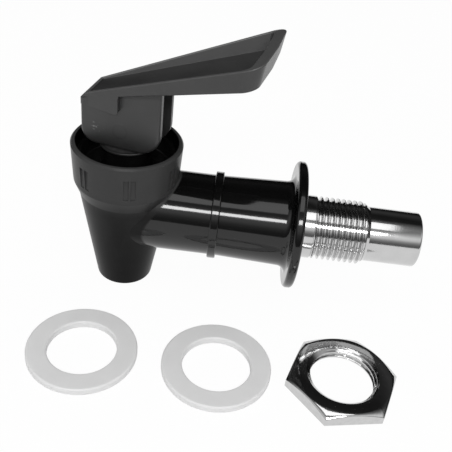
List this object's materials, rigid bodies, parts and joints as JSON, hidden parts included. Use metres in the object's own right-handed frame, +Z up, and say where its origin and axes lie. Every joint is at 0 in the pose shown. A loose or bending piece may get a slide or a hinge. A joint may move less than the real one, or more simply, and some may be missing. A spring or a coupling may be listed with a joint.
{
  "type": "bag in box tap",
  "caption": "Push-lever tap with a sprung seat valve in an angled body, on a threaded metal shank with sealing washers and a back nut.",
  "frame": {"origin": "centre of the flange's wall face, on the shank's axis", "axes": "+X along the shank into the container, +Z up along the body's axis, which stands 43.9 mm out on -X; the outlet points down -Z"},
  "size_m": [0.0905, 0.061, 0.0695],
  "materials": {
    "black_gloss": "glossy moulded black plastic",
    "black_satin": "satin moulded black plastic",
    "black_slip": "black low-friction plastic",
    "polished_steel": "polished stainless steel",
    "nut_chrome": "plated and polished",
    "spring_steel": "drawn stainless steel",
    "seal_rubber": "matt moulded rubber",
    "silicone": "soft milky silicone",
    "white_acetal": "white low-friction plastic",
    "translucent_seal": "milky soft seal"
  },
  "bodies": {
    "tap": {"tap_body": "black_gloss", "shank": "polished_steel", "shank_seal": "seal_rubber", "bonnet": "black_gloss", "bonnet_seal": "seal_rubber", "stem_seal": "seal_rubber", "spring_washer": "spring_steel", "closing_spring": "spring_steel", "outer_sealing_washer": "translucent_seal", "inner_sealing_washer": "translucent_seal", "back_nut": "nut_chrome"},
    "swivel": {"slip_washer": "black_slip"},
    "stem": {"stem": "white_acetal", "spring_collar": "white_acetal", "seat_cup": "silicone"},
    "lever": {"lever": "black_satin", "pivot_pin": "spring_steel"}
  },
  "joints": [
    {"name": "lever_swivel", "type": "hinge", "parent": "tap", "child": "swivel", "pos_m": [-0.0439, 0, 0.018], "axis": [0, 0, 1], "continuous": true},
    {"name": "stem_lift", "type": "slide", "parent": "swivel", "child": "stem", "axis": [0, 0, 1], "range_m": [0, 0.0025], "deforming": ["closing_spring"]},
    {"name": "lever_tilt", "type": "hinge", "parent": "stem", "child": "lever", "pos_m": [-0.0439, 0, 0.023], "axis": [0.2079, 0.9781, 0], "range_deg": [0, 30], "stiffness_Nm_per_rad": 0.0138, "springref_deg": -91.67}
  ],
  "couplings": [
    {"joint": "lever_tilt", "follows": "stem_lift", "rad_per_m": 209.4}
  ]
}
